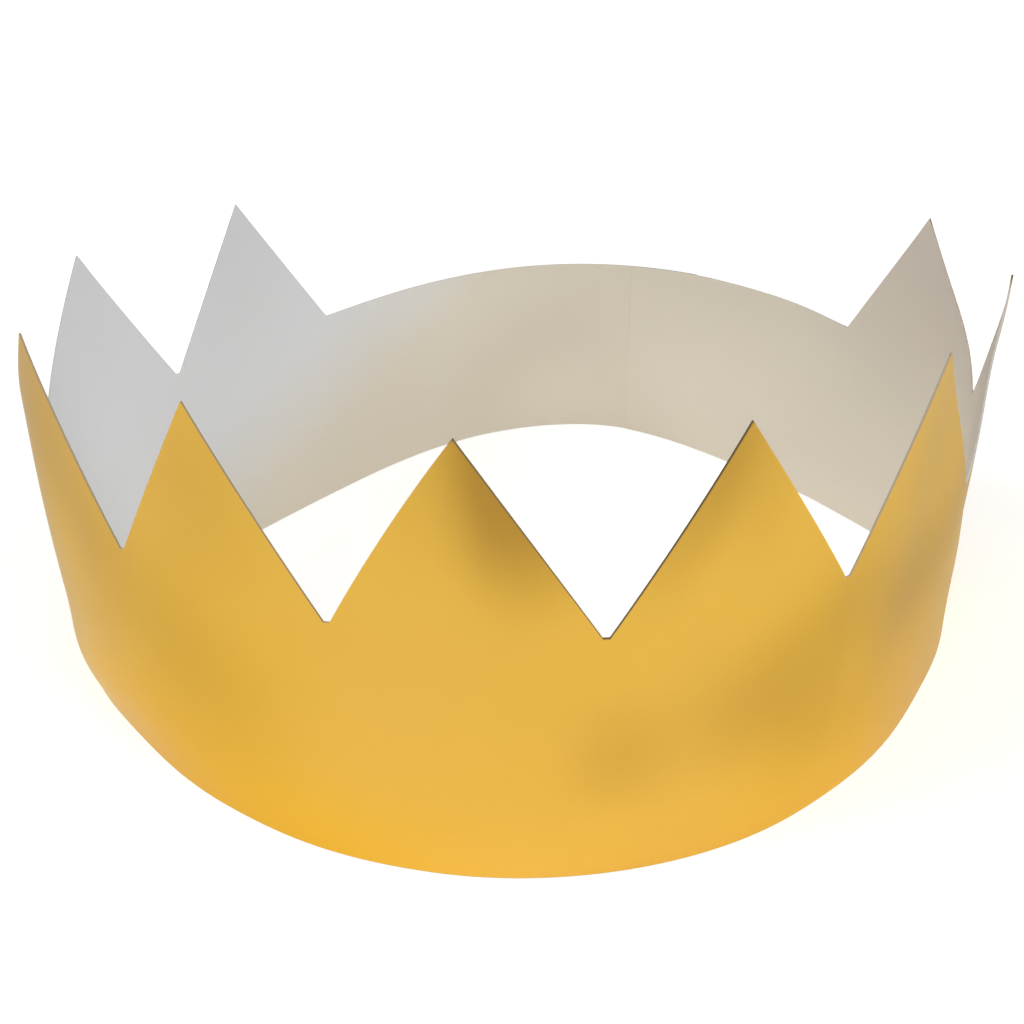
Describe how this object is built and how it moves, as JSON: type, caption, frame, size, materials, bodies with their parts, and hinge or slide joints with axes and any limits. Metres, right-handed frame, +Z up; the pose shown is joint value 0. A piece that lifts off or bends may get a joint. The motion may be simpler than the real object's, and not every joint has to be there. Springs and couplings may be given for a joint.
{
  "type": "paper crown",
  "caption": "Play crown of gold card: one strip cut into a row of pointed peaks, bent into an open loop that sits on the head and glued where its ends lap at the back.",
  "frame": {"origin": "centre of the crown's own box at its bottom edge, on the surface that it stands on", "axes": "+Z up along the card's height, middle point of the front towards -Y, plain glued stretch towards +Y, +X to the wearer's left"},
  "size_m": [0.2017, 0.1943, 0.089],
  "materials": {
    "gold_card": "satin gold foil on the outside, matt white on the inside, bare card at the cut edges"
  },
  "bodies": {
    "root": {"card_crown": "gold_card"}
  },
  "joints": []
}
